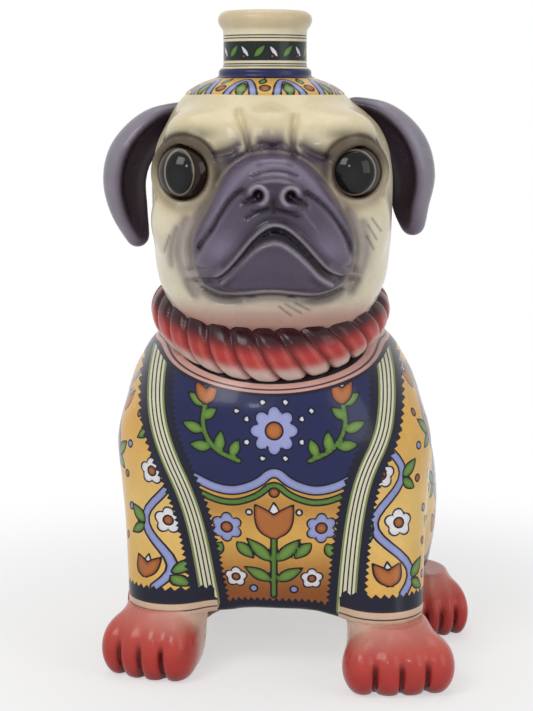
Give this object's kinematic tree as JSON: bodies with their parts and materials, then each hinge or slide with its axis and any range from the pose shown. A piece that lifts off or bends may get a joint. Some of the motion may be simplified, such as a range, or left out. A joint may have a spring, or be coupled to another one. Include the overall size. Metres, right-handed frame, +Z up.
{
  "type": "figural ceramic bottle",
  "caption": "Glazed ceramic bottle in the form of a sitting pug with a rope collar, hanging ears and a short flared neck, closed by a straight cork.",
  "frame": {"origin": "on the floor plane under the middle of the bottle's footprint box", "axes": "+Z up along the neck, -Y the way the pug looks, +X to the pug's own left (the viewer's right)"},
  "size_m": [0.1608, 0.1578, 0.27],
  "materials": {
    "painted_glaze": "hand-painted ochre glaze with navy, lavender and green ornament",
    "cream_glaze": "glossy cream glaze with brown airbrushed shading",
    "red_glaze": "glossy red glaze, worn pale on the edges and dark in the grooves",
    "mauve_glaze": "glossy purple-grey glaze",
    "black_glaze": "glossy black glaze",
    "cork": "natural cork"
  },
  "bodies": {
    "bottle": {"body_shell": "painted_glaze", "head_shell": "cream_glaze", "neck": "cream_glaze", "rope_collar": "red_glaze", "muzzle": "mauve_glaze", "eye_right": "black_glaze", "eye_left": "black_glaze", "ear_right": "mauve_glaze", "ear_left": "mauve_glaze", "front_paw_right": "red_glaze", "front_paw_left": "red_glaze", "hind_paw_right": "red_glaze", "hind_paw_left": "red_glaze", "tail": "cream_glaze"},
    "stopper": {"cork": "cork"}
  },
  "joints": [
    {"name": "cork_pull", "type": "slide", "parent": "bottle", "child": "stopper", "axis": [0, 0, 1], "range_m": [0, 0.03]}
  ]
}
